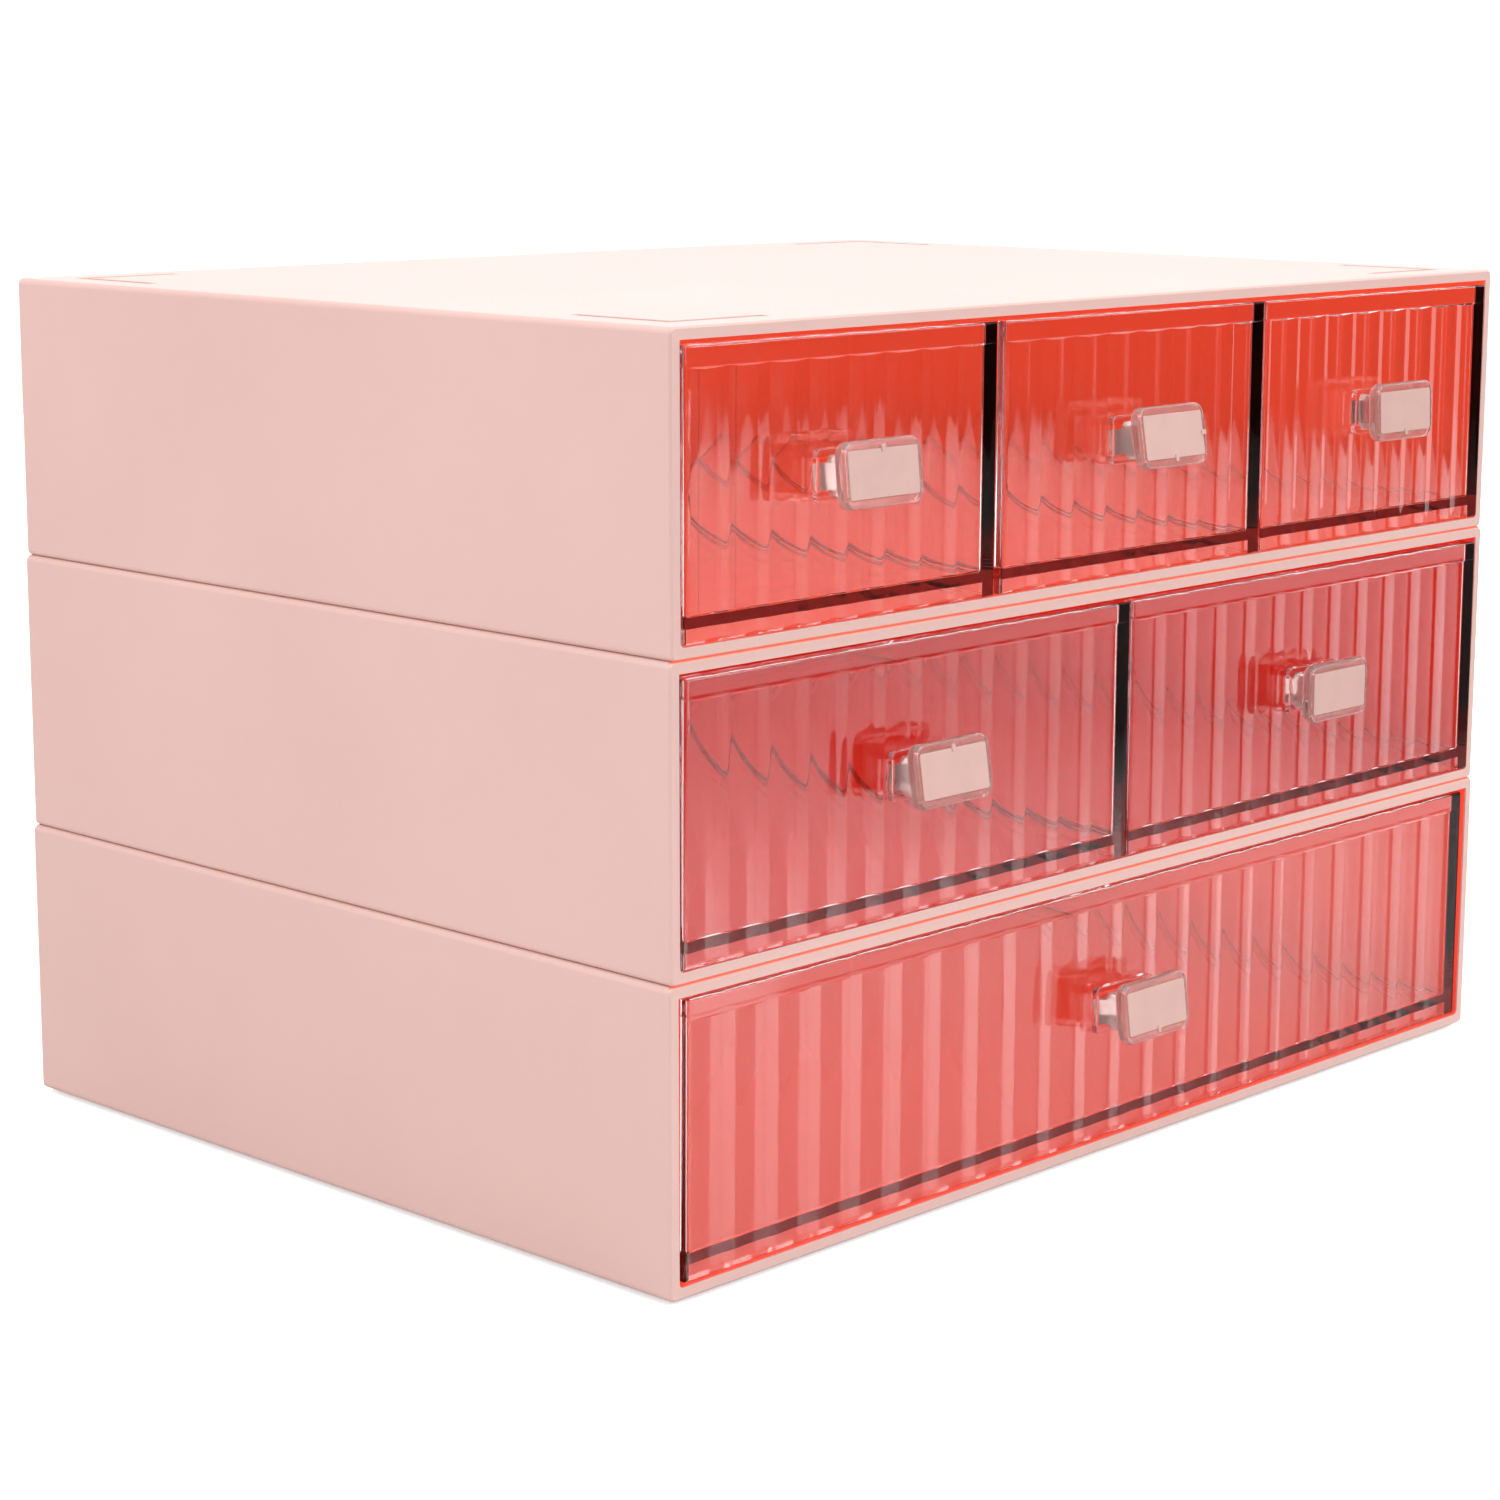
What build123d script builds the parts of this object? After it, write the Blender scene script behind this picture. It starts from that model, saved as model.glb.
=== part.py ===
from build123d import *
import os

# A desktop storage drawer set: three stacked cases, six clear fluted drawers with clear pulls.
# Sizes are in millimetres. X runs along the width, the fronts face -Y and +Z is up.

# Cases. All three have the same form.
case_width = 270.5  # across the top edge
case_depth = 198.0
tier_height = 60.0
case_wall = 2.35
side_lean = 0.45  # how far each side wall comes in from its top edge to its bottom edge
case_edge_radius = 1.3
rim_chamfer = 0.4
back_chamfer = 0.8
opening_corner_radius = 1.0

# Corner locators: grooves in the top of a case, and feet beneath it that drop into them.
locator_inset = 10.0
locator_leg = 25.0
groove_width = 2.6
groove_depth = 1.2
foot_clearance = 0.2

# Drawers
drawer_wall = 2.0
front_thickness = 2.65
drawer_floor = 1.9
floor_lift = 2.7  # the side walls run on below the floor as skids
front_edge_chamfer = 0.6
back_corner_radius = 1.5
inner_corner_radius = 1.0
floor_edge_chamfer = 0.8  # where the walls meet the floor
running_gap = 0.3  # under the skids, behind the drawer and beside it at its tightest
head_room = 1.0

# Flutes of the fronts: shallow scoops under a flat band, each closed by a ramp at its top
flute_depth = 0.48
cusp_relief = 0.03
flat_band = 4.0
flute_margin = 1.25  # plain strip at each side of the flutes

# Pad and slot on the fronts, which carry the pulls
pull_height = 28.0  # middle of the pull above the bottom of the front
pad_width = 19.0
pad_height = 9.9
pad_radius = 1.0
pad_proud = 0.8
slot_width = 17.6
slot_height = 6.4

# Pulls
tongue_side_gap = 0.55
tongue_height = 5.2
neck_width = 16.5
neck_height = 8.1
neck_radius = 1.5
neck_length = 4.3
head_width = 22.1
head_height = 12.7
head_radius = 2.8
head_thickness = 2.4
head_chamfer = 0.5

# Inserts in the heads of the pulls
insert_width = 19.6
insert_height = 9.2
insert_radius = 0.6
recess_depth = 1.2
insert_gap = 0.12
insert_back_gap = 0.05
insert_proud = 0.1
nub_width = 1.0
nub_reach = 0.7
nub_height = 0.35
nub_lift = 0.03

# Cutting tools run this far past what they cut.
overrun = 1.0

# Tiers from the bottom up: side play is what the drawers of a tier leave free across the case,
# and proud is how far their fronts stand ahead of the rim.
tiers = {
    "bottom": {"count": 1, "side_play": 2.8, "proud": -0.8, "flutes": 22},
    "middle": {"count": 2, "side_play": 1.2, "proud": 0.4, "flutes": 12},
    "top": {"count": 3, "side_play": 2.9, "proud": 0.4, "flutes": 8},
}

# Drawers: bay counts them from the left in their tier, drift is the share of the play that has
# gathered left of the drawer, lean is the tilt of its pull in degrees, its lower edge outwards,
# and drawn is how far that pull has come out of its slot. Nubs are the gate marks at the edges
# of the insert.
drawers = {
    "bottom": {"tier": "bottom", "bay": 0, "drift": 1, "lean": 7.0, "drawn": 1.4, "nubs": ["below"]},
    "middle_left": {"tier": "middle", "bay": 0, "drift": 0, "lean": 8.5, "drawn": 0.5, "nubs": ["above"]},
    "middle_right": {"tier": "middle", "bay": 1, "drift": 1, "lean": 0.0, "drawn": 0.0, "nubs": []},
    "top_left": {"tier": "top", "bay": 0, "drift": 0, "lean": 6.0, "drawn": 1.2, "nubs": ["above"]},
    "top_centre": {"tier": "top", "bay": 1, "drift": 1, "lean": 9.5, "drawn": 1.05, "nubs": ["below", "right"]},
    "top_right": {"tier": "top", "bay": 2, "drift": 1, "lean": 2.0, "drawn": 0.0, "nubs": ["below"]},
}

# Sizes that follow from the ones above
foot_width = groove_width - 2 * foot_clearance
foot_height = groove_depth - foot_clearance
opening_height = tier_height - 2 * case_wall
floor_width = case_width - 2 * side_lean - 2 * case_wall
drawer_height = opening_height - running_gap - head_room
flute_top = drawer_height - flat_band
tongue_width = slot_width - 2 * tongue_side_gap
tongue_length = front_thickness + pad_proud


def leaning_outline(bottom, top, width):
    """Upright outline between two heights of a tier: width is measured at the tier's top edge."""
    half_low = width / 2 - side_lean * (tier_height - bottom) / tier_height
    half_high = width / 2 - side_lean * (tier_height - top) / tier_height
    corners = [(-half_low, bottom), (half_low, bottom), (half_high, top), (-half_high, top)]
    return make_face(Polyline(*corners, close=True))


def corner_mark(side, end, line_width):
    """Flat L over one corner of a case, with its legs along the side and the end."""
    x = side * (case_width / 2 - locator_inset)
    y = locator_inset if end < 0 else case_depth - locator_inset
    leg_ends = [(x - side * locator_leg, y), (x, y), (x, y - end * locator_leg)]
    return trace(Polyline(*leg_ends), line_width)


def corner_marks(line_width):
    return [corner_mark(side, end, line_width) for side in (-1, 1) for end in (-1, 1)]


def drawer_width(tier):
    return (floor_width - tier["side_play"]) / tier["count"]


def drawer_centre(tier, bay, drift):
    """Place across the case: running gaps and drawers up to this one, and its share of the free play."""
    width = drawer_width(tier)
    free_play = tier["side_play"] - (tier["count"] + 1) * running_gap
    left_edge = (bay + 1) * running_gap + bay * width + drift * free_play
    return left_edge + width / 2 - floor_width / 2


def case_shell():
    """Moulded box, open at the front, with its side walls leaning in towards the bottom."""
    outline = leaning_outline(0, tier_height, case_width)
    block = extrude(Plane.XZ * outline, amount=-case_depth)
    block = fillet(block.edges().filter_by(Axis.Y), case_edge_radius)
    block = chamfer(block.faces().sort_by(Axis.Y)[0].edges(), rim_chamfer)
    block = chamfer(block.faces().sort_by(Axis.Y)[-1].edges(), back_chamfer)
    ceiling = tier_height - case_wall
    mouth = leaning_outline(case_wall, ceiling, case_width - 2 * case_wall)
    mouth = fillet(mouth.vertices().sort_by(Axis.Y)[:2], opening_corner_radius)
    room = extrude(Plane.XZ * mouth, amount=case_wall - case_depth)
    way_in = extrude(Plane.XZ * mouth, amount=overrun)
    return block - room - way_in


def case():
    body = case_shell()
    for mark in corner_marks(groove_width):
        body = body - extrude(Pos(0, 0, tier_height - groove_depth) * mark, amount=groove_depth + overrun)
    for mark in corner_marks(foot_width):
        body = body + extrude(Pos(0, 0, -foot_height) * mark, amount=foot_height + case_wall / 2)
    return body


def flute_cutter(width, flutes):
    """Row of shallow scoops side by side, each ending in a ramp that faces outwards and down."""
    field_width = width - 2 * flute_margin
    pitch = field_width / flutes
    cusps = [-field_width / 2 + pitch * index for index in range(flutes + 1)]
    scoops = []
    for start, end in zip(cusps, cusps[1:]):
        middle = ((start + end) / 2, flute_depth)
        scoops.append(ThreePointArc((start, cusp_relief), middle, (end, cusp_relief)))
    far = width / 2 + overrun
    way_round = Polyline(
        (cusps[0], cusp_relief),
        (-far, cusp_relief),
        (-far, -overrun),
        (far, -overrun),
        (far, cusp_relief),
        (cusps[-1], cusp_relief),
    )
    field = make_face(scoops + way_round.edges())
    columns = extrude(Pos(0, 0, -overrun) * field, amount=flute_top + 3 * overrun)
    deep = flute_depth + overrun
    ramp_side = Polyline(
        (-overrun, -2 * overrun),
        (deep, -2 * overrun),
        (deep, flute_top - deep),
        (-overrun, flute_top + overrun),
        close=True,
    )
    under_ramp = extrude(Plane.YZ * make_face(ramp_side), amount=width, both=True)
    return columns & under_ramp


def upright_plate(width, height, radius, front, back):
    """Plate with rounded corners, seen from the front, between two depths."""
    return extrude(Plane.XZ.offset(-back) * RectangleRounded(width, height, radius), amount=back - front)


def drawer_tray(width, depth):
    """Open tray with full-height walls, its floor lifted off the skids."""
    low_front = (Align.CENTER, Align.MIN, Align.MIN)
    tray = Box(width, depth, drawer_height, align=low_front)
    tray = fillet(tray.edges().filter_by(Axis.Z).sort_by(Axis.Y)[-2:], back_corner_radius)
    tray = chamfer(tray.faces().sort_by(Axis.Y)[0].edges(), front_edge_chamfer)
    inner_width = width - 2 * drawer_wall
    inner_depth = depth - front_thickness - drawer_wall
    inside = Box(inner_width, inner_depth, drawer_height, align=low_front)
    inside = fillet(inside.edges().filter_by(Axis.Z), inner_corner_radius)
    inside = chamfer(inside.faces().sort_by(Axis.Z)[0].edges(), floor_edge_chamfer)
    beneath = Box(inner_width, depth, floor_lift + overrun, align=low_front)
    tray = tray - Pos(0, front_thickness, floor_lift + drawer_floor) * inside
    return tray - Pos(0, front_thickness, -overrun) * beneath


def drawer(width, depth, flutes):
    """Clear drawer: fluted front with its pull pad, and the tray behind it in one piece."""
    pull_place = Pos(0, 0, pull_height)
    body = drawer_tray(width, depth) - flute_cutter(width, flutes)
    pad = upright_plate(pad_width, pad_height, pad_radius, -pad_proud, front_thickness / 2)
    body = body + pull_place * pad
    slot = Box(slot_width, 2 * tongue_length + 2 * overrun, slot_height)
    return body - pull_place * slot


def pull():
    """Clear pull with its back on the pad: tongue, neck and flat head with a recess in its face."""
    tongue = Pos(0, tongue_length / 2, 0) * Box(tongue_width, tongue_length, tongue_height)
    neck = upright_plate(neck_width, neck_height, neck_radius, -neck_length, 0)
    head_face = -neck_length - head_thickness
    head = upright_plate(head_width, head_height, head_radius, head_face, -neck_length)
    head_rims = head.faces().sort_by(Axis.Y)[0].edges() + head.faces().sort_by(Axis.Y)[-1].edges()
    head = chamfer(head_rims, head_chamfer)
    recess = upright_plate(
        insert_width + 2 * insert_gap,
        insert_height + 2 * insert_gap,
        insert_radius + insert_gap,
        head_face - overrun,
        head_face + recess_depth,
    )
    return tongue + neck + head - recess


def gate_nub(place):
    """Little block left at an edge of the insert, lying over the frame of the head."""
    spots = {
        "above": (0, insert_height / 2, nub_width, 2 * nub_reach),
        "below": (0, -insert_height / 2, nub_width, 2 * nub_reach),
        "right": (insert_width / 2, 0, 2 * nub_reach, nub_width),
    }
    x, z, width, height = spots[place]
    face = -neck_length - head_thickness
    return Pos(x, face - nub_lift - nub_height / 2, z) * Box(width, nub_height, height)


def insert(nubs):
    face = -neck_length - head_thickness
    back = face + recess_depth - insert_back_gap
    plate = upright_plate(insert_width, insert_height, insert_radius, face - insert_proud, back)
    for place in nubs:
        plate = plate + gate_nub(place)
    return plate


def leaned(lean):
    """Turn about the upper back edge of the neck."""
    edge = neck_height / 2
    return Pos(0, 0, edge) * Rot(-lean, 0, 0) * Pos(0, 0, -edge)


def tier_floor(tier):
    """Height of the inside floor of a tier above the surface that the set stands on."""
    return foot_height + list(tiers).index(tier) * tier_height + case_wall


def build_set():
    """All pieces by name, with the rims of the cases in the plane Y = 0."""
    pieces = {}
    for tier in tiers:
        pieces[f"case_{tier}"] = Pos(0, 0, tier_floor(tier) - case_wall) * case()
    for name, seat in drawers.items():
        tier = tiers[seat["tier"]]
        depth = case_depth - case_wall - running_gap + tier["proud"]
        x = drawer_centre(tier, seat["bay"], seat["drift"])
        place = Pos(x, -tier["proud"], tier_floor(seat["tier"]) + running_gap)
        pieces[f"drawer_{name}"] = place * drawer(drawer_width(tier), depth, tier["flutes"])
        pull_place = place * Pos(0, -pad_proud - seat["drawn"], pull_height) * leaned(seat["lean"])
        pieces[f"pull_{name}"] = pull_place * pull()
        pieces[f"insert_{name}"] = pull_place * insert(seat["nubs"])
    return pieces


def main():
    os.makedirs("parts", exist_ok=True)
    pieces = build_set()
    boxes = [piece.bounding_box() for piece in pieces.values()]
    front = min(box.min.Y for box in boxes)
    back = max(box.max.Y for box in boxes)
    to_origin = Pos(0, -(front + back) / 2, 0)
    for name, piece in pieces.items():
        export_step(to_origin * piece, f"parts/{name}.step")


main()
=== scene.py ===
import math
import bmesh
import bpy
from mathutils import Matrix, Vector


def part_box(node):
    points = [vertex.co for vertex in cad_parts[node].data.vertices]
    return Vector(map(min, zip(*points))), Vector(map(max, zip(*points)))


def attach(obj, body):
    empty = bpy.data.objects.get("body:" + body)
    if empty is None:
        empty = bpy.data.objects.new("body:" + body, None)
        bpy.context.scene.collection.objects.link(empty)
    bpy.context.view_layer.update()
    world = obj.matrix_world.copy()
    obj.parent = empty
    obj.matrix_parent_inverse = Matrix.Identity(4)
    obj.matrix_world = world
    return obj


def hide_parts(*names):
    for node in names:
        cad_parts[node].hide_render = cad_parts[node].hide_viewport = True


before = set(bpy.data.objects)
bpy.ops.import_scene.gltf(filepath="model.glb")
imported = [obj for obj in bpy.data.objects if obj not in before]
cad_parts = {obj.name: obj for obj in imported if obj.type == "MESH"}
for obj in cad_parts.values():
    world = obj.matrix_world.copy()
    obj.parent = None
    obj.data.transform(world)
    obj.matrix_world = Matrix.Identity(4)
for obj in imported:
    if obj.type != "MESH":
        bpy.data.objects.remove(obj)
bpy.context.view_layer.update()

# Everything is in metres. X runs along the width, the fronts face -Y and +Z is up.
MM = 0.001

# Cases
TIERS = ("bottom", "middle", "top")
FOOT = 1.0 * MM
TIER_HEIGHT = 60 * MM
CASE_WALL = 2.35 * MM
OPENING_HALF_WIDTH = 132.7 * MM
RIM_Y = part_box("case_top")[0].y
CASE_BACK_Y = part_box("case_top")[1].y

# Painted glow: red emission inside each case that stands in for the light coming through the walls, and the
# share of it that its floor gives off, lower there as painted shade
GLOW = {"bottom": (0.51, 0.044, 0.022), "middle": (0.44, 0.013, 0.005), "top": (0.66, 0.066, 0.030)}
GLOW_ON_FLOOR = 0.72
GLOW_FULL_HEIGHT = 25 * MM
# Painted glow in the seams at the front: red base colour and orange emission for light coming out between the
# cases
GLOW_IN_SEAM = (0.42, 0.055, 0.02)

# Drawers, with the lean of each pull in degrees, how far it has come out of its slot, and the gate
# marks of its insert
DRAWERS = {
    "bottom": {"flutes": 22, "lean": 7.0, "drawn": 1.4 * MM, "nubs": ("below",)},
    "middle_left": {"flutes": 12, "lean": 8.5, "drawn": 0.5 * MM, "nubs": ("above",)},
    "middle_right": {"flutes": 12, "lean": 0.0, "drawn": 0.0, "nubs": ()},
    "top_left": {"flutes": 8, "lean": 6.0, "drawn": 1.2 * MM, "nubs": ("above",)},
    "top_centre": {"flutes": 8, "lean": 9.5, "drawn": 1.05 * MM, "nubs": ("below", "right")},
    "top_right": {"flutes": 8, "lean": 2.0, "drawn": 0.0, "nubs": ("below",)},
}
DRAWER_WALL = 2.0 * MM
FRONT_THICKNESS = 2.65 * MM
DRAWER_FLOOR = 1.9 * MM
FLOOR_LIFT = 2.7 * MM
FRONT_EDGE_RADIUS = 0.5 * MM
BACK_CORNER_RADIUS = 1.5 * MM
INNER_CORNER_RADIUS = 1.0 * MM
FLOOR_EDGE_RADIUS = 0.8 * MM
FLUTE_DEPTH = 0.48 * MM
CUSP_RELIEF = 0.03 * MM
CUSP_HALF_WIDTH = 0.6 * MM
FLAT_BAND = 4.0 * MM
FLUTE_MARGIN = 1.25 * MM
STEPS_PER_FLUTE = 16
STEPS_BUNCHED = 0.127  # how far the steps move towards the crests, as a share of a flute

# Pad and slot for the pull
PULL_HEIGHT = 28.0 * MM
PAD = Vector((19.0, 0.8, 9.9)) * MM
PAD_RADIUS = 1.0 * MM
PAD_EDGE_RADIUS = 0.2 * MM
SLOT = Vector((17.6, 0, 6.4)) * MM

# Pulls and inserts
TONGUE = Vector((16.5, 3.45, 5.2)) * MM
NECK = Vector((16.5, 4.3, 8.1)) * MM
NECK_RADIUS = 1.5 * MM
HEAD = Vector((22.1, 2.4, 12.7)) * MM
HEAD_RADIUS = 2.8 * MM
HEAD_EDGE_RADIUS = 0.6 * MM
INSERT = Vector((19.6, 1.25, 9.2)) * MM
INSERT_RADIUS = 0.6 * MM
INSERT_EDGE_RADIUS = 0.15 * MM
INSERT_PROUD = 0.1 * MM
INSERT_GAP = 0.12 * MM
RECESS_DEPTH = 1.2 * MM
NUB_WIDTH = 1.0 * MM
NUB_REACH = 0.7 * MM
NUB_HEIGHT = 0.35 * MM
NUB_SUNK = 0.03 * MM
NUB_EDGE_RADIUS = 0.12 * MM

# Table top between two corners. Before the drawers and right of TABLE_SIDE it is lit up to the first distance
# and dark from the second. Then come the two ends of its clouding, and what it throws where dark and where lit.
TABLE = ((-1.2, -1.2, -0.02), (1.2, 1.4, 0))
TABLE_LIT_REACH = 0.20
TABLE_DARK_REACH = 0.42
TABLE_SIDE = 0.10
TABLE_WHITE = ((0.93, 0.93, 0.93), (0.95, 0.95, 0.95))
TABLE_THROWN = ((0.03, 0.03, 0.03), (0.66, 0.66, 0.66))
TABLE_IN_PLASTIC = 0.25  # share of the table's own light that is seen through the clear plastic

# Colours: the pink plastics as the two ends of their clouding, the specks, the painted glow of the seams and
# the painted red light on the inner walls
CASE_PINK = ((0.735, 0.480, 0.435), (0.755, 0.497, 0.450))
# The inserts' pink is the case pink darkened a little as painted shade
INSERT_PINK = ((0.63, 0.395, 0.350), (0.66, 0.415, 0.370))
SPECK_BROWN = (0.35, 0.20, 0.17)
PAINTED_SEAM_GLOW_RED = (0.60, 0.10, 0.05)
PAINTED_INNER_RED_LIGHT = (0.75, 0.06, 0.04)

# Clear plastic of the drawers and of the pulls: what of the light passes, what the rest meets, the colour
# that its depth keeps, and the roughness where it is smooth and where it is rubbed
CLEAR_DRAWER = {
    "clarity": 1.0, "body": (1, 1, 1), "tint": (0.62, 0.40, 0.47), "roughness": (0.015, 0.06)
}
CLEAR_PULL = {
    "clarity": 0.84, "body": (0.92, 0.70, 0.66), "tint": (0.75, 0.62, 0.64), "roughness": (0.10, 0.18)
}
CLEAR_IOR = 1.57
TINT_DENSITY = 14.0

# Camera, fitted to the photograph: its place, its turn, dip and roll in degrees, then sensor, lens and shift
CAMERA_PLACE = Vector((-0.56716, RIM_Y - 0.42896, 0.22528))
CAMERA_ANGLES = (46.545, 9.208, 0.270)
CAMERA_SENSOR = 36
CAMERA_LENS = 82.892
CAMERA_SHIFT = -0.0782

# Softboxes: where each stands, what it faces, its width and height, and its power in watts
SOFTBOXES = {
    "overhead": ((0.0, 0.0, 1.3), (0, 0, 0), (2.2, 2.2), 15.5),
    "left": ((-1.4, 0.1, 0.6), (0, 0, 0.08), (2.4, 1.8), 16.5),
    "front": ((0.2, -1.2, 1.0), (0, 0, 0.08), (1.4, 0.8), 11),
    "low right": ((0.82, -1.26, 0.35), (0, 0, 0.08), (0.45, 0.45), 4),
    "right": ((1.0, -0.06, 0.36), (0, -0.06, 0.36), (0.8, 0.7), 2.2),
}

# White backdrop as the camera sees it, and how often light may bounce
BACKDROP = 1.3
MAX_BOUNCES = 48
TRANSMISSION_BOUNCES = 32
GLOSSY_BOUNCES = 32
TRANSPARENT_BOUNCES = 16

# How far a cutting tool runs past what it cuts, and the angle over which an edge stays sharp
OVERRUN = 1.0 * MM
SHARP_ANGLE = math.radians(15)


# Node trees

def math_node(tree, operation, first, second=None):
    """Math node on two values, each a socket or a number; returns its output."""
    node = tree.nodes.new("ShaderNodeMath")
    node.operation = operation
    for socket, value in zip(node.inputs, (first, second)):
        if isinstance(value, bpy.types.NodeSocket):
            tree.links.new(value, socket)
        elif value is not None:
            socket.default_value = value
    return node.outputs[0]


def flute_row_tree():
    """Row of shallow scoops side by side, as one solid to be cut from a front.

    A square tube runs along the width. Its four corners are set one by one: the two at the back follow
    the scoops, and the upper one drops with their depth, which makes the ramp at the top of each scoop. The
    crests between the scoops are rounded, with more steps there than in the scoops.
    """
    tree = bpy.data.node_groups.new("flute_row", "GeometryNodeTree")
    inputs = {}
    for name, kind, value in (
        ("Width", "NodeSocketFloat", 0.1),
        ("Flutes", "NodeSocketInt", 8),
        ("Steps", "NodeSocketInt", STEPS_PER_FLUTE),
        ("Depth", "NodeSocketFloat", FLUTE_DEPTH),
        ("Relief", "NodeSocketFloat", CUSP_RELIEF),
        ("Cusp", "NodeSocketFloat", CUSP_HALF_WIDTH),
        ("Top", "NodeSocketFloat", 0.05),
        ("Overrun", "NodeSocketFloat", OVERRUN),
        ("Material", "NodeSocketMaterial", None),
    ):
        socket = tree.interface.new_socket(name, in_out="INPUT", socket_type=kind)
        if value is not None:
            socket.default_value = value
        inputs[name] = socket.identifier
    tree.interface.new_socket("Geometry", in_out="OUTPUT", socket_type="NodeSocketGeometry")
    given = tree.nodes.new("NodeGroupInput").outputs
    width, flutes, steps, depth, relief, cusp, top, overrun = (given[name] for name in list(inputs)[:8])

    segments = math_node(tree, "MULTIPLY", flutes, steps)
    tube = tree.nodes.new("GeometryNodeMeshCylinder")
    tube.fill_type = "NGON"
    tube.inputs["Vertices"].default_value = 4
    tree.links.new(math_node(tree, "ADD", segments, 2), tube.inputs["Side Segments"])

    index = tree.nodes.new("GeometryNodeInputIndex").outputs[0]
    ring = math_node(tree, "FLOOR", math_node(tree, "DIVIDE", index, 4))
    corner = math_node(tree, "SUBTRACT", index, math_node(tree, "MULTIPLY", ring, 4))
    step = math_node(tree, "MAXIMUM", math_node(tree, "SUBTRACT", ring, 1), 0)
    step = math_node(tree, "MINIMUM", step, segments)
    beyond = math_node(tree, "SUBTRACT", math_node(tree, "SUBTRACT", ring, 1), step)

    pitch = math_node(tree, "DIVIDE", width, flutes)
    in_flutes = math_node(tree, "DIVIDE", step, steps)
    even = math_node(tree, "FRACT", in_flutes)
    bunched = math_node(tree, "SINE", math_node(tree, "MULTIPLY", even, math.tau))
    in_flute = math_node(tree, "ADD", even, math_node(tree, "MULTIPLY", bunched, -STEPS_BUNCHED))
    x = math_node(tree, "ADD", math_node(tree, "FLOOR", in_flutes), in_flute)
    x = math_node(tree, "MULTIPLY", x, pitch)
    x = math_node(tree, "SUBTRACT", x, math_node(tree, "MULTIPLY", width, 0.5))
    x = math_node(tree, "ADD", x, math_node(tree, "MULTIPLY", beyond, overrun))
    off_middle = math_node(tree, "MULTIPLY", math_node(tree, "SUBTRACT", in_flute, 0.5), pitch)
    half = math_node(tree, "MULTIPLY", pitch, 0.5)
    rise = math_node(tree, "SUBTRACT", depth, relief)
    radius = math_node(tree, "ADD", math_node(tree, "POWER", half, 2), math_node(tree, "POWER", rise, 2))
    radius = math_node(tree, "DIVIDE", radius, math_node(tree, "MULTIPLY", rise, 2))
    reach = math_node(tree, "POWER", radius, 2)
    reach = math_node(tree, "SUBTRACT", reach, math_node(tree, "POWER", off_middle, 2))
    sag = math_node(tree, "SUBTRACT", radius, math_node(tree, "SQRT", reach))
    scoop = math_node(tree, "SUBTRACT", depth, sag)
    to_cusp = math_node(tree, "SUBTRACT", half, math_node(tree, "ABSOLUTE", off_middle))
    near_cusp = math_node(tree, "MAXIMUM", math_node(tree, "SUBTRACT", cusp, to_cusp), 0)
    slope = math_node(tree, "DIVIDE", half, radius)
    eased = math_node(tree, "POWER", near_cusp, 2)
    eased = math_node(tree, "DIVIDE", eased, math_node(tree, "MULTIPLY", cusp, 2))
    scoop = math_node(tree, "ADD", scoop, math_node(tree, "MULTIPLY", slope, eased))

    at_back = math_node(tree, "LESS_THAN", corner, 1.5)
    y = math_node(tree, "MULTIPLY", at_back, math_node(tree, "ADD", scoop, overrun))
    y = math_node(tree, "SUBTRACT", y, overrun)

    is_ramp_foot = math_node(tree, "COMPARE", corner, 1)
    is_ramp_head = math_node(tree, "COMPARE", corner, 2)
    ramp_foot = math_node(tree, "ADD", math_node(tree, "SUBTRACT", top, scoop), overrun)
    ramp_head = math_node(tree, "ADD", top, math_node(tree, "MULTIPLY", overrun, 2))
    z = math_node(tree, "MULTIPLY", is_ramp_foot, ramp_foot)
    z = math_node(tree, "ADD", z, math_node(tree, "MULTIPLY", is_ramp_head, ramp_head))
    z = math_node(tree, "SUBTRACT", z, overrun)

    place = tree.nodes.new("ShaderNodeCombineXYZ")
    for socket, value in zip(place.inputs, (x, y, z)):
        tree.links.new(value, socket)
    moved = tree.nodes.new("GeometryNodeSetPosition")
    tree.links.new(tube.outputs["Mesh"], moved.inputs["Geometry"])
    tree.links.new(place.outputs[0], moved.inputs["Position"])
    real = tree.nodes.new("GeometryNodeRealizeInstances")
    tree.links.new(moved.outputs[0], real.inputs[0])
    painted = tree.nodes.new("GeometryNodeSetMaterial")
    tree.links.new(real.outputs[0], painted.inputs["Geometry"])
    tree.links.new(given["Material"], painted.inputs["Material"])
    tree.links.new(painted.outputs[0], tree.nodes.new("NodeGroupOutput").inputs[0])
    return tree, inputs


# Solids

def object_from(mesh_data, name):
    """Object of a bmesh, which is freed, with its faces outwards."""
    bmesh.ops.recalc_face_normals(mesh_data, faces=mesh_data.faces)
    mesh = bpy.data.meshes.new(name)
    mesh_data.to_mesh(mesh)
    mesh_data.free()
    piece = bpy.data.objects.new(name, mesh)
    bpy.context.scene.collection.objects.link(piece)
    return piece


def along(edge, axis):
    """True for an edge that runs along one axis."""
    run = edge.verts[1].co - edge.verts[0].co
    return abs(run[axis]) > 0.999 * run.length


def lies_at(edge, axis, value):
    return all(abs(vert.co[axis] - value) < 1e-7 for vert in edge.verts)


def box(low, high):
    """Plain block between two corners, as a bmesh."""
    block = bmesh.new()
    bmesh.ops.create_cube(block, size=1)
    middle = (Vector(low) + Vector(high)) / 2
    size = Vector(high) - Vector(low)
    for vert in block.verts:
        vert.co = middle + Vector(part * length for part, length in zip(vert.co, size))
    return block


def round_edges(block, edges, radius, segments):
    bmesh.ops.bevel(
        block, geom=list(edges), offset=radius, segments=segments, profile=0.5, affect="EDGES",
        clamp_overlap=True,
    )


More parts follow.
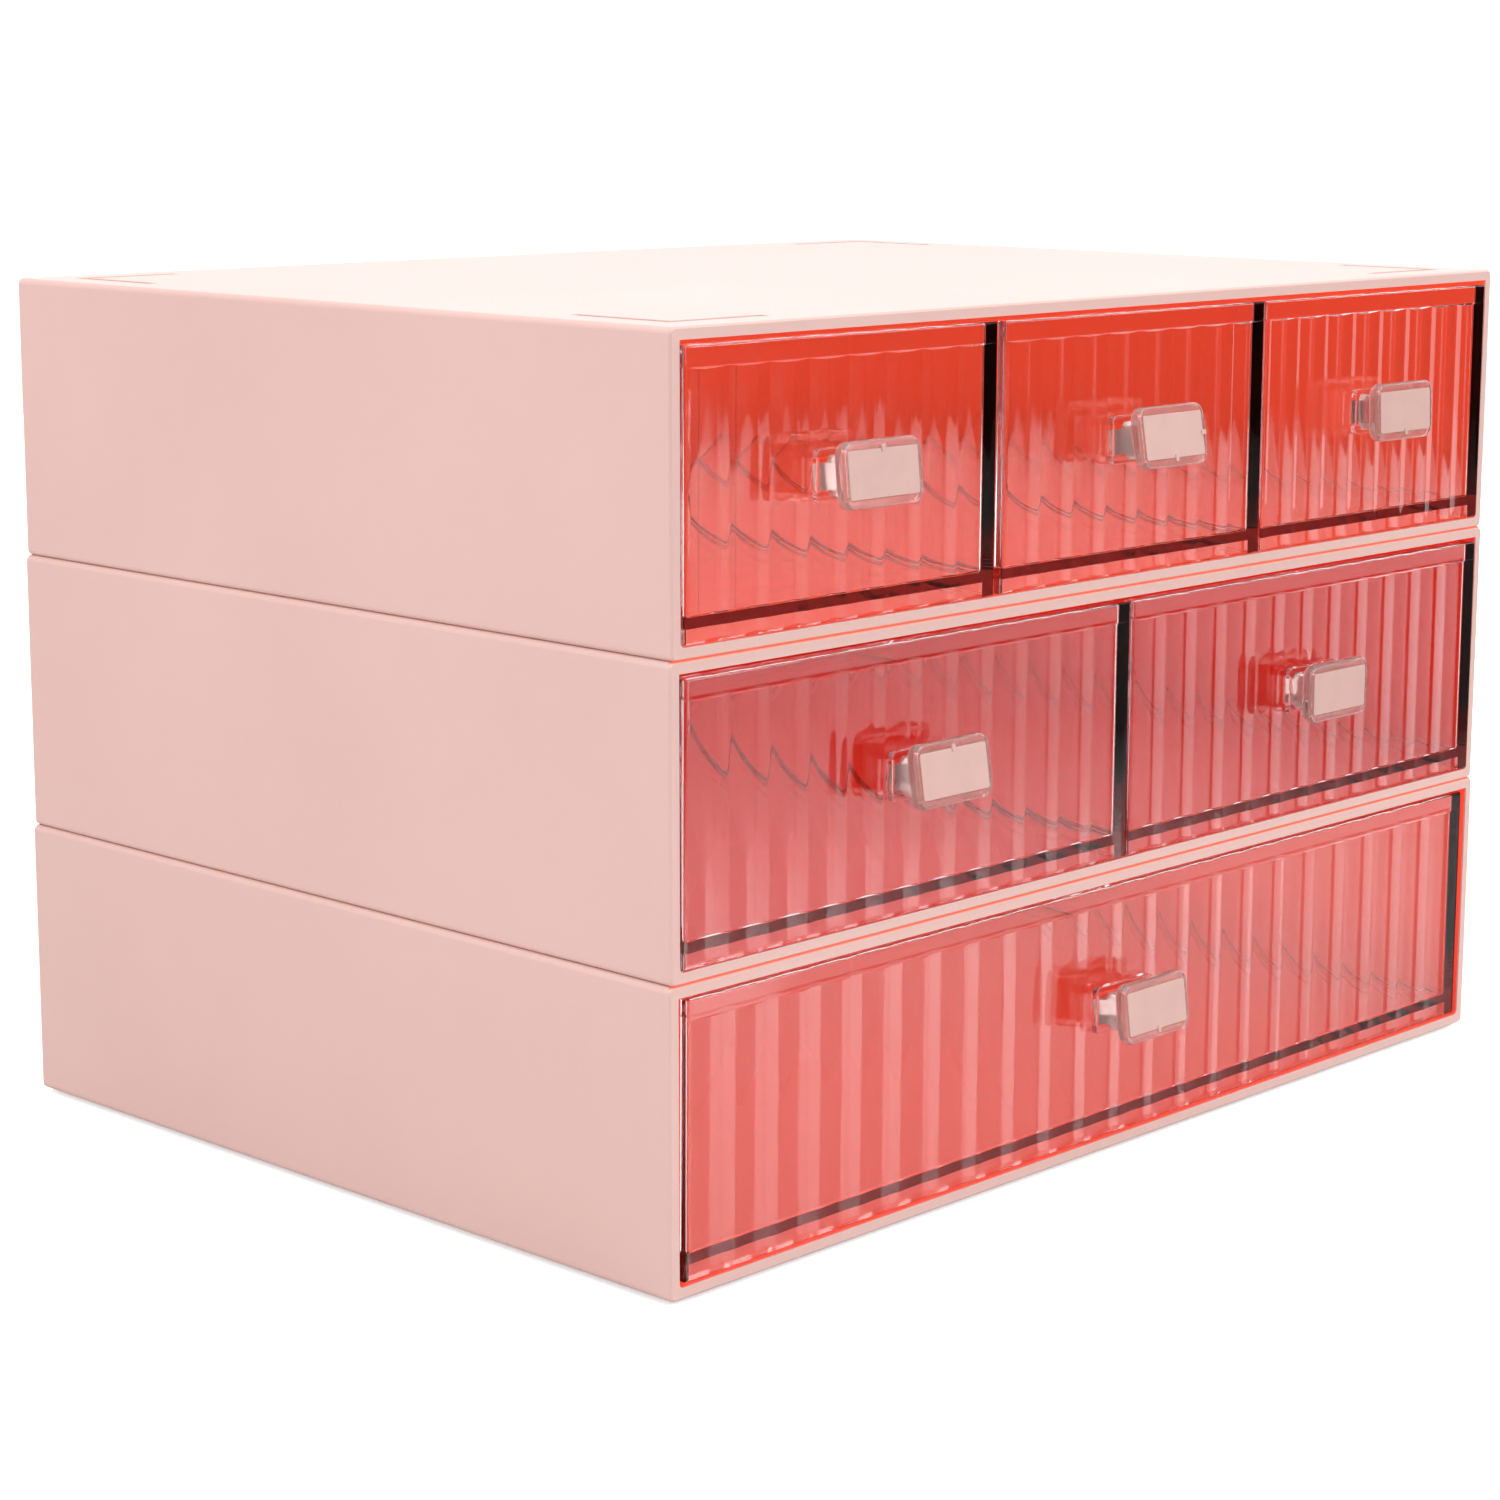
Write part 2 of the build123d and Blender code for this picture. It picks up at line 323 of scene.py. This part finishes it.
def plate(size, radius, front, edge_radius=0.0, back_too=False):
    """Upright plate with rounded corners whose front face lies at a depth, centred on X and Z."""
    block = box((-size.x / 2, front, -size.z / 2), (size.x / 2, front + size.y, size.z / 2))
    round_edges(block, [edge for edge in block.edges if along(edge, 1)], radius, 10)
    if edge_radius:
        rims = [edge for edge in block.edges if lies_at(edge, 1, front)]
        if back_too:
            rims += [edge for edge in block.edges if lies_at(edge, 1, front + size.y)]
        round_edges(block, rims, edge_radius, 7)
    return block


def settle(piece):
    """Make the modifiers of a piece real."""
    graph = bpy.context.evaluated_depsgraph_get()
    mesh = bpy.data.meshes.new_from_object(piece.evaluated_get(graph))
    piece.modifiers.clear()
    piece.data = mesh


def combine(piece, tool, operation):
    """Join a tool to a piece or cut it away, and drop the tool."""
    step = piece.modifiers.new("combine", "BOOLEAN")
    step.operation = operation
    step.solver = "EXACT"
    step.object = tool
    settle(piece)
    bpy.data.objects.remove(tool)


def smooth(piece):
    """Smooth shading with crisp edges, the large faces staying flat."""
    shape = bmesh.new()
    shape.from_mesh(piece.data)
    bmesh.ops.remove_doubles(shape, verts=shape.verts, dist=1e-7)
    bmesh.ops.dissolve_degenerate(shape, edges=shape.edges, dist=1e-8)
    for face in shape.faces:
        face.smooth = True
    for edge in shape.edges:
        edge.smooth = len(edge.link_faces) == 2 and edge.calc_face_angle(math.pi) < SHARP_ANGLE
    shape.to_mesh(piece.data)
    shape.free()
    even = piece.modifiers.new("even", "WEIGHTED_NORMAL")
    even.keep_sharp = True
    settle(piece)


def flute_row(tree, inputs, width, flutes, top, material):
    """Solid row of scoops for a front of this width, made plain."""
    piece = bpy.data.objects.new("flute_row", bpy.data.meshes.new("flute_row"))
    bpy.context.scene.collection.objects.link(piece)
    row = piece.modifiers.new("flute_row", "NODES")
    row.node_group = tree
    row[inputs["Width"]] = width - 2 * FLUTE_MARGIN
    row[inputs["Flutes"]] = flutes
    row[inputs["Steps"]] = STEPS_PER_FLUTE
    row[inputs["Depth"]] = FLUTE_DEPTH
    row[inputs["Relief"]] = CUSP_RELIEF
    row[inputs["Cusp"]] = CUSP_HALF_WIDTH
    row[inputs["Top"]] = top
    row[inputs["Overrun"]] = FLUTE_MARGIN + OVERRUN
    row[inputs["Material"]] = material
    settle(piece)
    shape = bmesh.new()
    shape.from_mesh(piece.data)
    bpy.data.objects.remove(piece)
    return object_from(shape, "flute_row")


def drawer_solid(name, flutes, tree, inputs, material):
    """Clear drawer with its fluted front, pull pad and slot, in its place in its case."""
    low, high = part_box(f"drawer_{name}")
    front = low.y + PAD.y
    width, depth, height = high.x - low.x, high.y - front, high.z - low.z
    half = width / 2
    tray = box((-half, 0, 0), (half, depth, height))
    uprights = [edge for edge in tray.edges if along(edge, 2) and lies_at(edge, 1, depth)]
    round_edges(tray, uprights, BACK_CORNER_RADIUS, 10)
    round_edges(tray, [edge for edge in tray.edges if lies_at(edge, 1, 0)], FRONT_EDGE_RADIUS, 8)
    tray = object_from(tray, f"clear_drawer_{name}")

    inner = half - DRAWER_WALL
    back = depth - DRAWER_WALL
    floor = FLOOR_LIFT + DRAWER_FLOOR
    inside = box((-inner, FRONT_THICKNESS, floor), (inner, back, height + OVERRUN))
    round_edges(inside, [edge for edge in inside.edges if along(edge, 2)], INNER_CORNER_RADIUS, 8)
    round_edges(inside, [edge for edge in inside.edges if lies_at(edge, 2, floor)], FLOOR_EDGE_RADIUS, 5)
    combine(tray, object_from(inside, "inside"), "DIFFERENCE")
    beneath = box((-inner, FRONT_THICKNESS, -OVERRUN), (inner, depth + OVERRUN, FLOOR_LIFT))
    combine(tray, object_from(beneath, "beneath"), "DIFFERENCE")
    combine(tray, flute_row(tree, inputs, width, flutes, height - FLAT_BAND, material), "DIFFERENCE")

    middle = Matrix.Translation((0, 0, PULL_HEIGHT))
    pad = plate(Vector((PAD.x, PAD.y + FRONT_THICKNESS / 2, PAD.z)), PAD_RADIUS, -PAD.y, PAD_EDGE_RADIUS)
    pad.transform(middle)
    combine(tray, object_from(pad, "pad"), "UNION")
    slot_low = (-SLOT.x / 2, -PAD.y - OVERRUN, -SLOT.z / 2)
    slot = box(slot_low, (SLOT.x / 2, FRONT_THICKNESS + OVERRUN, SLOT.z / 2))
    slot.transform(middle)
    combine(tray, object_from(slot, "slot"), "DIFFERENCE")
    tray.data.transform(Matrix.Translation(((low.x + high.x) / 2, front, low.z)))
    smooth(tray)
    return tray


def pull_place(name, lean, drawn):
    """Place of a pull before its pad: turned about the upper back edge of its neck."""
    low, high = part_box(f"drawer_{name}")
    pad_middle = Matrix.Translation(((low.x + high.x) / 2, low.y - drawn, low.z + PULL_HEIGHT))
    edge = Matrix.Translation((0, 0, NECK.z / 2))
    return pad_middle @ edge @ Matrix.Rotation(math.radians(-lean), 4, "X") @ edge.inverted()


def pull_solid(name, place):
    """Clear pull: tongue in the slot, neck, and a flat head with a recess for the insert."""
    face = -NECK.y - HEAD.y
    head = object_from(plate(HEAD, HEAD_RADIUS, face, HEAD_EDGE_RADIUS, back_too=True), f"clear_pull_{name}")
    neck = plate(Vector((NECK.x, NECK.y + HEAD.y / 4, NECK.z)), NECK_RADIUS, -NECK.y - HEAD.y / 4)
    combine(head, object_from(neck, "neck"), "UNION")
    tongue = box((-TONGUE.x / 2, -NECK.y / 4, -TONGUE.z / 2), (TONGUE.x / 2, TONGUE.y, TONGUE.z / 2))
    combine(head, object_from(tongue, "tongue"), "UNION")
    gap = Vector((2 * INSERT_GAP, 0, 2 * INSERT_GAP))
    recess = Vector((INSERT.x, RECESS_DEPTH + OVERRUN, INSERT.z)) + gap
    recess = plate(recess, INSERT_RADIUS + INSERT_GAP, face - OVERRUN)
    combine(head, object_from(recess, "recess"), "DIFFERENCE")
    head.data.transform(place)
    smooth(head)
    return head


def insert_solid(name, place, nubs):
    """Flat pink plate in the head of a pull, with the small marks left at its gates."""
    face = -NECK.y - HEAD.y
    slab = plate(INSERT, INSERT_RADIUS, face - INSERT_PROUD, INSERT_EDGE_RADIUS)
    slab = object_from(slab, f"pink_insert_{name}")
    spots = {
        "above": (0, INSERT.z / 2, NUB_WIDTH / 2, NUB_REACH),
        "below": (0, -INSERT.z / 2, NUB_WIDTH / 2, NUB_REACH),
        "right": (INSERT.x / 2, 0, NUB_REACH, NUB_WIDTH / 2),
    }
    for x, z, half_width, half_height in (spots[nub] for nub in nubs):
        top = face - NUB_SUNK
        nub = box((x - half_width, top - NUB_HEIGHT, z - half_height), (x + half_width, top, z + half_height))
        outer = [edge for edge in nub.edges if not lies_at(edge, 1, top)]
        round_edges(nub, outer, NUB_EDGE_RADIUS, 3)
        combine(slab, object_from(nub, "nub"), "UNION")
    slab.data.transform(place)
    smooth(slab)
    return slab


# Materials

def new_material(name):
    material = bpy.data.materials.new(name)
    material.use_nodes = True
    tree = material.node_tree
    shader = tree.nodes["Principled BSDF"]
    place = tree.nodes.new("ShaderNodeTexCoord").outputs["Object"]
    return material, tree, shader, place


def noise(tree, place, size, detail=3.0):
    """Even noise whose grains are about this many metres across."""
    node = tree.nodes.new("ShaderNodeTexNoise")
    node.inputs["Scale"].default_value = 1 / size
    node.inputs["Detail"].default_value = detail
    tree.links.new(place, node.inputs["Vector"])
    return node.outputs["Fac"]


def ramp(tree, value, low, high, to_low=0.0, to_high=1.0):
    """Value moved from one range to another and held at its ends."""
    node = tree.nodes.new("ShaderNodeMapRange")
    node.inputs["From Min"].default_value = low
    node.inputs["From Max"].default_value = high
    node.inputs["To Min"].default_value = to_low
    node.inputs["To Max"].default_value = to_high
    tree.links.new(value, node.inputs["Value"])
    return node.outputs[0]


def blend_colours(tree, share, first, second):
    """Mix of two colours, each a socket or a colour."""
    node = tree.nodes.new("ShaderNodeMix")
    node.data_type = "RGBA"
    for socket, value in ((node.inputs[0], share), (node.inputs[6], first), (node.inputs[7], second)):
        if isinstance(value, bpy.types.NodeSocket):
            tree.links.new(value, socket)
        else:
            socket.default_value = value if isinstance(value, float) else (*value, 1)
    return node.outputs[2]


def add_bump(tree, shader, height, distance, strength=1.0):
    node = tree.nodes.new("ShaderNodeBump")
    node.inputs["Strength"].default_value = strength
    node.inputs["Distance"].default_value = distance
    tree.links.new(height, node.inputs["Height"])
    tree.links.new(node.outputs[0], shader.inputs["Normal"])


def specks(tree, place, spacing, size, share):
    """Sparse small dots: one where the cell of a spot pattern is picked, and none elsewhere."""
    cells = tree.nodes.new("ShaderNodeTexVoronoi")
    cells.inputs["Scale"].default_value = 1 / spacing
    tree.links.new(place, cells.inputs["Vector"])
    near = ramp(tree, cells.outputs["Distance"], size / spacing * 0.6, size / spacing, 1.0, 0.0)
    pick = tree.nodes.new("ShaderNodeSeparateColor")
    tree.links.new(cells.outputs["Color"], pick.inputs[0])
    return math_node(tree, "MULTIPLY", near, math_node(tree, "LESS_THAN", pick.outputs[0], share))


def inside_case(tree, place):
    """1 on the walls inside the cases, 0 on their rims and outsides, then the tier and the height in it; it
    masks the painted red light and glow inside.
    """
    parts = tree.nodes.new("ShaderNodeSeparateXYZ")
    tree.links.new(place, parts.inputs[0])
    x, y, z = parts.outputs
    slack = 0.4 * MM
    behind_rim = ramp(tree, y, RIM_Y + 0.1 * MM, RIM_Y + 0.5 * MM)
    between_sides = math_node(tree, "LESS_THAN", math_node(tree, "ABSOLUTE", x), OPENING_HALF_WIDTH + slack)
    tiers = math_node(tree, "DIVIDE", math_node(tree, "SUBTRACT", z, FOOT), TIER_HEIGHT)
    tier = math_node(tree, "FLOOR", tiers)
    height = math_node(tree, "MULTIPLY", math_node(tree, "SUBTRACT", tiers, tier), TIER_HEIGHT)
    over_floor = math_node(tree, "GREATER_THAN", height, CASE_WALL - slack)
    under_roof = math_node(tree, "LESS_THAN", height, TIER_HEIGHT - CASE_WALL + slack)
    before_back = math_node(tree, "LESS_THAN", y, CASE_BACK_Y - CASE_WALL + slack)
    inside = behind_rim
    for test in (between_sides, over_floor, under_roof, before_back):
        inside = math_node(tree, "MULTIPLY", inside, test)
    return inside, tier, height


def near_seam(tree, place):
    """1 in the seams between the cases, as seen from the front, falling to 0 beside them; it masks the painted
    seam glow.
    """
    parts = tree.nodes.new("ShaderNodeSeparateXYZ")
    tree.links.new(place, parts.inputs[0])
    tiers = math_node(tree, "DIVIDE", math_node(tree, "SUBTRACT", parts.outputs[2], FOOT), TIER_HEIGHT)
    off = math_node(tree, "SUBTRACT", tiers, math_node(tree, "ROUND", tiers))
    off = math_node(tree, "MULTIPLY", math_node(tree, "ABSOLUTE", off), TIER_HEIGHT)
    close = ramp(tree, off, 0.05 * MM, 0.4 * MM, 1.0, 0.0)
    from_middle = math_node(tree, "ABSOLUTE", math_node(tree, "SUBTRACT", tiers, len(TIERS) / 2))
    is_seam = math_node(tree, "LESS_THAN", from_middle, 1.0)
    in_front = math_node(tree, "LESS_THAN", parts.outputs[1], RIM_Y + 1.0 * MM)
    return math_node(tree, "MULTIPLY", close, math_node(tree, "MULTIPLY", is_seam, in_front))


def pink_moulding():
    """Satin pink plastic of the cases. Their insides get a painted red glow, emission that stands in for the
    light coming through the walls and is weaker near the floor as painted shade, and the seams at the front get
    a painted orange glow.
    """
    material, tree, shader, place = new_material("pink_moulding")
    clouds = ramp(tree, noise(tree, place, 60 * MM), 0.35, 0.65)
    skin = blend_colours(tree, clouds, *CASE_PINK)
    dots = specks(tree, place, 14 * MM, 0.35 * MM, 0.25)
    skin = blend_colours(tree, dots, skin, SPECK_BROWN)
    inside, tier, height = inside_case(tree, place)
    glow = blend_colours(tree, math_node(tree, "COMPARE", tier, 1), GLOW["top"], GLOW["middle"])
    glow = blend_colours(tree, math_node(tree, "COMPARE", tier, 0), glow, GLOW["bottom"])
    seam = near_seam(tree, place)
    skin = blend_colours(tree, seam, skin, PAINTED_SEAM_GLOW_RED)
    # Painted light: red base colour inside the cases and in the seams, for light coming through the walls
    tree.links.new(blend_colours(tree, inside, skin, PAINTED_INNER_RED_LIGHT), shader.inputs["Base Color"])
    tree.links.new(blend_colours(tree, seam, glow, GLOW_IN_SEAM), shader.inputs["Emission Color"])
    # Painted shade: the painted glow is weaker near each floor and full from GLOW_FULL_HEIGHT up
    share = ramp(tree, height, CASE_WALL, GLOW_FULL_HEIGHT, GLOW_ON_FLOOR, 1.0)
    strength = math_node(tree, "MULTIPLY", inside, share)
    tree.links.new(math_node(tree, "MAXIMUM", strength, seam), shader.inputs["Emission Strength"])
    grain = noise(tree, place, 0.5 * MM)
    tree.links.new(ramp(tree, grain, 0.3, 0.7, 0.30, 0.40), shader.inputs["Roughness"])
    shader.inputs["Specular IOR Level"].default_value = 0.4
    add_bump(tree, shader, grain, 0.02 * MM)
    return material


def pink_insert():
    """The same pink plastic in the flat inserts, its colour a little darker as painted shade."""
    material, tree, shader, place = new_material("pink_insert")
    clouds = ramp(tree, noise(tree, place, 6 * MM), 0.35, 0.65)
    skin = blend_colours(tree, clouds, *INSERT_PINK)
    tree.links.new(skin, shader.inputs["Base Color"])
    grain = noise(tree, place, 0.35 * MM)
    tree.links.new(ramp(tree, grain, 0.3, 0.7, 0.40, 0.50), shader.inputs["Roughness"])
    add_bump(tree, shader, grain, 0.015 * MM)
    return material


def clear_plastic(name, finish):
    """Clear moulded plastic with a faint tint in its depth, fine rubbing marks and a slight ripple."""
    material, tree, shader, place = new_material(name)
    shader.inputs["Base Color"].default_value = (*finish["body"], 1)
    shader.inputs["Transmission Weight"].default_value = finish["clarity"]
    shader.inputs["IOR"].default_value = CLEAR_IOR
    smears = noise(tree, place, 9 * MM, 5.0)
    tree.links.new(ramp(tree, smears, 0.45, 0.75, *finish["roughness"]), shader.inputs["Roughness"])
    add_bump(tree, shader, noise(tree, place, 16 * MM, 1.0), 0.03 * MM)
    depth = tree.nodes.new("ShaderNodeVolumeAbsorption")
    depth.inputs["Color"].default_value = (*finish["tint"], 1)
    depth.inputs["Density"].default_value = TINT_DENSITY
    tree.links.new(depth.outputs[0], tree.nodes["Material Output"].inputs["Volume"])
    return material


def white_table():
    """White table top. What it throws onto the fronts fades out away from them, and its own light keeps it
    white up to the horizon, as a table cut out of a photograph is."""
    material, tree, shader, place = new_material("white_table")
    grain = ramp(tree, noise(tree, place, 3 * MM), 0.3, 0.7)
    white = blend_colours(tree, grain, *TABLE_WHITE)
    parts = tree.nodes.new("ShaderNodeSeparateXYZ")
    tree.links.new(place, parts.inputs[0])
    aside = math_node(tree, "MAXIMUM", math_node(tree, "SUBTRACT", parts.outputs[0], TABLE_SIDE), 0)
    before = math_node(tree, "MAXIMUM", math_node(tree, "SUBTRACT", RIM_Y, parts.outputs[1]), 0)
    away = math_node(tree, "ADD", math_node(tree, "POWER", aside, 2), math_node(tree, "POWER", before, 2))
    lit = ramp(tree, math_node(tree, "SQRT", away), TABLE_DARK_REACH, TABLE_LIT_REACH)
    path = tree.nodes.new("ShaderNodeLightPath").outputs
    seen = math_node(tree, "MAXIMUM", path["Is Camera Ray"], path["Is Transmission Ray"])
    gloss = ramp(tree, lit, 0.0, 1.0, 0.9, 0.12)
    gloss = math_node(tree, "MAXIMUM", gloss, math_node(tree, "MULTIPLY", seen, 0.8))
    tree.links.new(gloss, shader.inputs["Roughness"])
    thrown = blend_colours(tree, lit, *TABLE_THROWN)
    tree.links.new(blend_colours(tree, seen, thrown, white), shader.inputs["Base Color"])
    reach = tree.nodes.new("ShaderNodeVectorMath")
    reach.operation = "LENGTH"
    tree.links.new(place, reach.inputs[0])
    white_out = ramp(tree, reach.outputs["Value"], 0.3, 0.7, 0.5, 1.1)
    shader.inputs["Emission Color"].default_value = (1, 1, 1, 1)
    through = math_node(tree, "MULTIPLY", path["Is Transmission Ray"], TABLE_IN_PLASTIC)
    shown = math_node(tree, "MAXIMUM", path["Is Camera Ray"], through)
    tree.links.new(math_node(tree, "MULTIPLY", white_out, shown), shader.inputs["Emission Strength"])
    return material


def dress(piece, material):
    piece.data.materials.clear()
    piece.data.materials.append(material)


# Camera, table and light

def make_camera():
    """Camera where the photograph was taken from: the fitted place, turn, dip, roll and shift."""
    turn, dip, roll = (math.radians(angle) for angle in CAMERA_ANGLES)
    ahead = Vector((math.sin(turn) * math.cos(dip), math.cos(turn) * math.cos(dip), -math.sin(dip)))
    right = Vector((math.cos(turn), -math.sin(turn), 0))
    up = right.cross(ahead)
    side = right * math.cos(roll) + up * math.sin(roll)
    top = up * math.cos(roll) - right * math.sin(roll)
    camera = bpy.data.objects.new("camera", bpy.data.cameras.new("camera"))
    bpy.context.scene.collection.objects.link(camera)
    turned = Matrix((side, top, -ahead)).transposed().to_4x4()
    camera.matrix_world = Matrix.Translation(CAMERA_PLACE) @ turned
    camera.data.sensor_width = CAMERA_SENSOR
    camera.data.lens = CAMERA_LENS
    camera.data.shift_y = CAMERA_SHIFT
    bpy.context.scene.camera = camera


def make_table():
    """White table top under and around the drawers."""
    table = object_from(box(*TABLE), "table")
    dress(table, white_table())


def softbox(name, place, aim, size, power):
    light = bpy.data.lights.new(name, "AREA")
    light.shape = "RECTANGLE"
    light.size, light.size_y = size
    light.energy = power
    lamp = bpy.data.objects.new(name, light)
    lamp.location = place
    lamp.rotation_euler = (Vector(aim) - Vector(place)).to_track_quat("-Z", "Y").to_euler()
    bpy.context.scene.collection.objects.link(lamp)


def make_light():
    """White backdrop for the camera, and softboxes. The object itself stands in a studio that is light above
    and behind it, has a low glare at the far right corner and is dim in front."""
    world = bpy.data.worlds.new("studio")
    bpy.context.scene.world = world
    world.use_nodes = True
    tree = world.node_tree
    backdrop = tree.nodes["Background"]
    backdrop.inputs["Color"].default_value = (1, 1, 1, 1)
    backdrop.inputs["Strength"].default_value = BACKDROP
    studio = tree.nodes.new("ShaderNodeBackground")
    parts = tree.nodes.new("ShaderNodeSeparateXYZ")
    tree.links.new(tree.nodes.new("ShaderNodeTexCoord").outputs["Generated"], parts.inputs[0])
    right, back, up = parts.outputs
    behind = ramp(tree, back, -0.25, 0.2, 0.0, 0.65)
    before = ramp(tree, up, -0.02, 0.08, 0.02, 0.15)
    around = math_node(tree, "MAXIMUM", behind, before)
    far_corner = ramp(tree, math_node(tree, "ADD", right, back), 1.15, 1.35)
    glare = math_node(tree, "MULTIPLY", far_corner, ramp(tree, up, 0.25, 0.45, 1.3, 0.0))
    around = math_node(tree, "ADD", around, glare)
    above = ramp(tree, up, 0.1, 0.5, 0.0, 0.6)
    tree.links.new(math_node(tree, "MAXIMUM", around, above), studio.inputs["Strength"])
    seen = tree.nodes.new("ShaderNodeLightPath").outputs["Is Camera Ray"]
    mix = tree.nodes.new("ShaderNodeMixShader")
    tree.links.new(seen, mix.inputs[0])
    tree.links.new(studio.outputs[0], mix.inputs[1])
    tree.links.new(backdrop.outputs[0], mix.inputs[2])
    tree.links.new(mix.outputs[0], tree.nodes["World Output"].inputs["Surface"])
    for name, (place, aim, size, power) in SOFTBOXES.items():
        softbox(name, place, aim, size, power)


def set_view():
    scene = bpy.context.scene
    scene.view_settings.view_transform = "Standard"
    scene.view_settings.look = "None"
    scene.cycles.max_bounces = MAX_BOUNCES
    scene.cycles.transmission_bounces = TRANSMISSION_BOUNCES
    scene.cycles.glossy_bounces = GLOSSY_BOUNCES
    scene.cycles.transparent_max_bounces = TRANSPARENT_BOUNCES


def make_pieces():
    pink = pink_moulding()
    insert_pink = pink_insert()
    clear = clear_plastic("clear_drawer", CLEAR_DRAWER)
    clear_pull = clear_plastic("clear_pull", CLEAR_PULL)
    for tier in TIERS:
        dress(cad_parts[f"case_{tier}"], pink)
    tree, inputs = flute_row_tree()
    for name, layout in DRAWERS.items():
        body = f"drawer_{name}"
        place = pull_place(name, layout["lean"], layout["drawn"])
        for solid, material, node, slot in (
            (drawer_solid(name, layout["flutes"], tree, inputs, clear), clear, f"drawer_{name}", "clear"),
            (pull_solid(name, place), clear_pull, f"pull_{name}", "clear_pull"),
            (insert_solid(name, place, layout["nubs"]), insert_pink, f"insert_{name}", "insert"),
        ):
            dress(solid, material)
            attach(solid, body)
            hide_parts(node)


make_camera()
make_table()
make_light()
set_view()
make_pieces()
